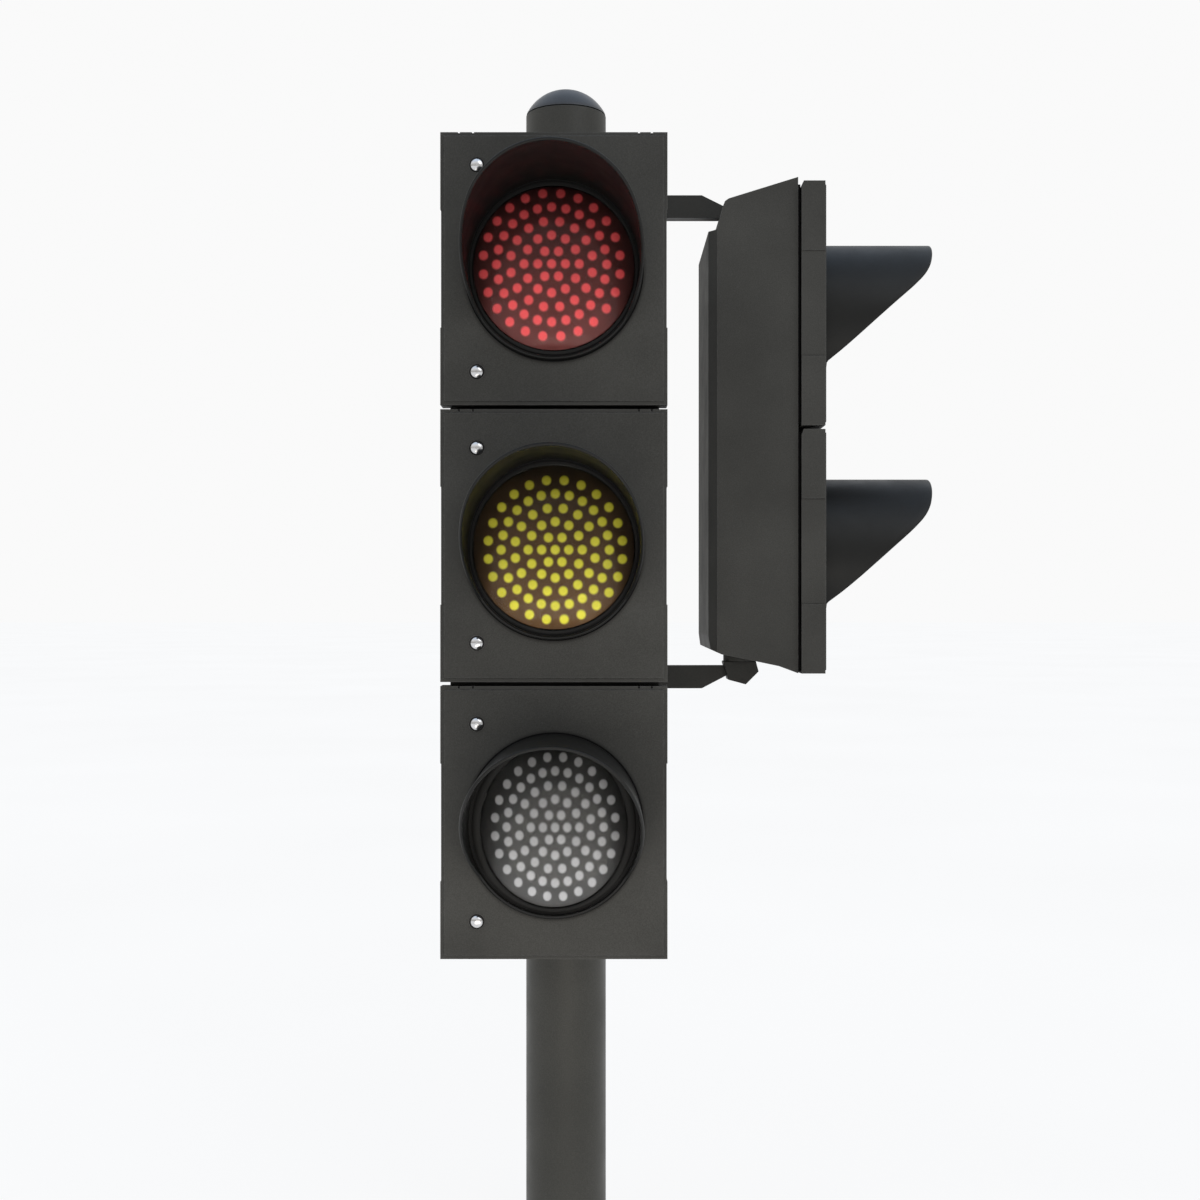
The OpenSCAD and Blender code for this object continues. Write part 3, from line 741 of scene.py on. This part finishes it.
def dress(name, material, width=0.0):
    """Gives a CAD node its finish and rounds its corners with modifiers, leaving its mesh as it is."""
    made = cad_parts[name]
    made.data.materials.clear()
    made.data.materials.append(material)
    if width == 0:
        return
    weld = made.modifiers.new("weld", "WELD")
    weld.merge_threshold = 0.005 * MM
    bevel = made.modifiers.new("bevel", "BEVEL")
    bevel.width = width
    bevel.segments = 2
    bevel.limit_method = "ANGLE"
    bevel.angle_limit = math.radians(40)
    bevel.use_clamp_overlap = True
    bevel.harden_normals = False
    normals = made.modifiers.new("normals", "WEIGHTED_NORMAL")
    normals.keep_sharp = True


def dress_head(head):
    """Finishes a head's case, seals, pins, terminals and arms."""
    dress(head + "_case", head_plastic, 0.8 * MM)
    dress(head + "_door_seals", seal_rubber)
    dress(head + "_hinge_pins", zinc_fasteners)
    dress(head + "_terminal_block", terminal_plastic, 0.4 * MM)
    for level in ("upper", "lower"):
        dress(f"{head}_{level}_arm", bracket_paint, 0.8 * MM)


# ---------- studio ----------


def make_floor():
    """A wide pale floor, as bright as the surround so that no horizon shows."""
    bm = bmesh.new()
    bmesh.ops.create_grid(bm, x_segments=8, y_segments=8, size=60)
    mesh = bpy.data.meshes.new("floor")
    bm.to_mesh(mesh)
    bm.free()
    made, tree, shader, place = new_material("floor")
    pale = ramp(tree, noise(tree, place, 0.6, 2), [(0.3, 0.11), (0.7, 0.13)])
    link(tree, pale, shader.inputs["Base Color"])
    shader.inputs["Roughness"].default_value = 1.0
    shader.inputs["Specular IOR Level"].default_value = 0.0
    shader.inputs["Emission Color"].default_value = (1, 1, 1, 1)
    shader.inputs["Emission Strength"].default_value = FLOOR_GLOW
    mesh.materials.append(made)
    floor = bpy.data.objects.new("floor", mesh)
    floor.location.z = -0.5 * MM
    bpy.context.scene.collection.objects.link(floor)


def make_world():
    """Even pale light all round, cooler from above. The camera sees it as plain white."""
    world = bpy.data.worlds.new("studio")
    bpy.context.scene.world = world
    world.use_nodes = True
    tree = world.node_tree
    tree.nodes.clear()
    place = add(tree, "ShaderNodeTexCoord").outputs["Generated"]
    up = add(tree, "ShaderNodeSeparateXYZ", {0: place}).outputs["Z"]
    share = add(tree, "ShaderNodeMapRange", {"Value": up, 1: -1.0, 2: 1.0, 3: 0.0, 4: 1.0}).outputs[0]
    # From straight below to straight above, darkest round the horizon
    stops = [
        (0.0, (0.95, 0.92, 0.86)),
        (0.49, (0.5, 0.48, 0.45)),
        (0.55, (0.45, 0.44, 0.42)),
        (0.75, (0.85, 0.85, 0.85)),
        (1.0, (0.66, 0.8, 1.0)),
    ]
    lit = add(tree, "ShaderNodeBackground", {"Color": ramp(tree, share, stops), "Strength": 1.1})
    plain = add(tree, "ShaderNodeBackground", {"Color": (WHITE, WHITE, WHITE, 1), "Strength": 1.0})
    seen = add(tree, "ShaderNodeLightPath").outputs["Is Camera Ray"]
    mixed = add(tree, "ShaderNodeMixShader", {0: seen, 1: lit.outputs[0], 2: plain.outputs[0]})
    link(tree, mixed.outputs[0], add(tree, "ShaderNodeOutputWorld").inputs["Surface"])


def make_light(name, at, target, size, power, colour):
    """A soft round light aimed at a place, which the camera doesn't see."""
    data = bpy.data.lights.new(name, "AREA")
    data.shape = "DISK"
    data.size = size
    data.energy = power
    data.color = colour
    made = bpy.data.objects.new(name, data)
    made.location = at
    aim = (Vector(target) - Vector(at)).to_track_quat("-Z", "Y")
    made.rotation_euler = aim.to_euler()
    made.visible_camera = False
    bpy.context.scene.collection.objects.link(made)


def make_camera():
    """A level camera straight ahead of the main head."""
    data = bpy.data.cameras.new("camera")
    data.sensor_width = 36
    data.lens = CAMERA_LENS
    data.clip_end = 200
    made = bpy.data.objects.new("camera", data)
    made.location = CAMERA_PLACE
    made.rotation_euler = (math.pi / 2, 0, 0)
    bpy.context.scene.collection.objects.link(made)
    bpy.context.scene.camera = made


# ---------- putting it together ----------

make_pole()
make_cap()
for name in ASPECTS:
    kind = name.split("_")[1]
    make_visor(name)
    make_bezel(name, kind)
    make_gasket(name)
    make_lens(name, kind)
    make_plate(name, kind)
    make_dots(name, kind)
    make_housing(name)
    for side in ("upper", "lower"):
        make_latch(name, side)
    dress(name + "_door", head_plastic, 0.5 * MM)

for head in HEADS:
    dress_head(head)
for level in ("upper", "middle", "lower"):
    for half in ("front", "back"):
        dress(f"{level}_collar_{half}", bracket_paint, 0.8 * MM)
for name in ("collar_bolts", "arm_bolts", "pivot_bolts", "cap_screws"):
    dress(name, zinc_fasteners, 0.4 * MM)
dress("base_sleeve", galvanised_steel)

make_floor()
make_world()
make_light(
    "key", at=(2.2, -2.8, 3.8), target=(0, 0, 1.1), size=3.2, power=30, colour=(0.98, 0.99, 1.0)
)
make_light(
    "bounce", at=(0.1, -1.3, 0.12), target=(0, -0.35, 0.62), size=1.2, power=5.5, colour=(1.0, 0.92, 0.8)
)
make_camera()
bpy.context.scene.view_settings.view_transform = "Standard"
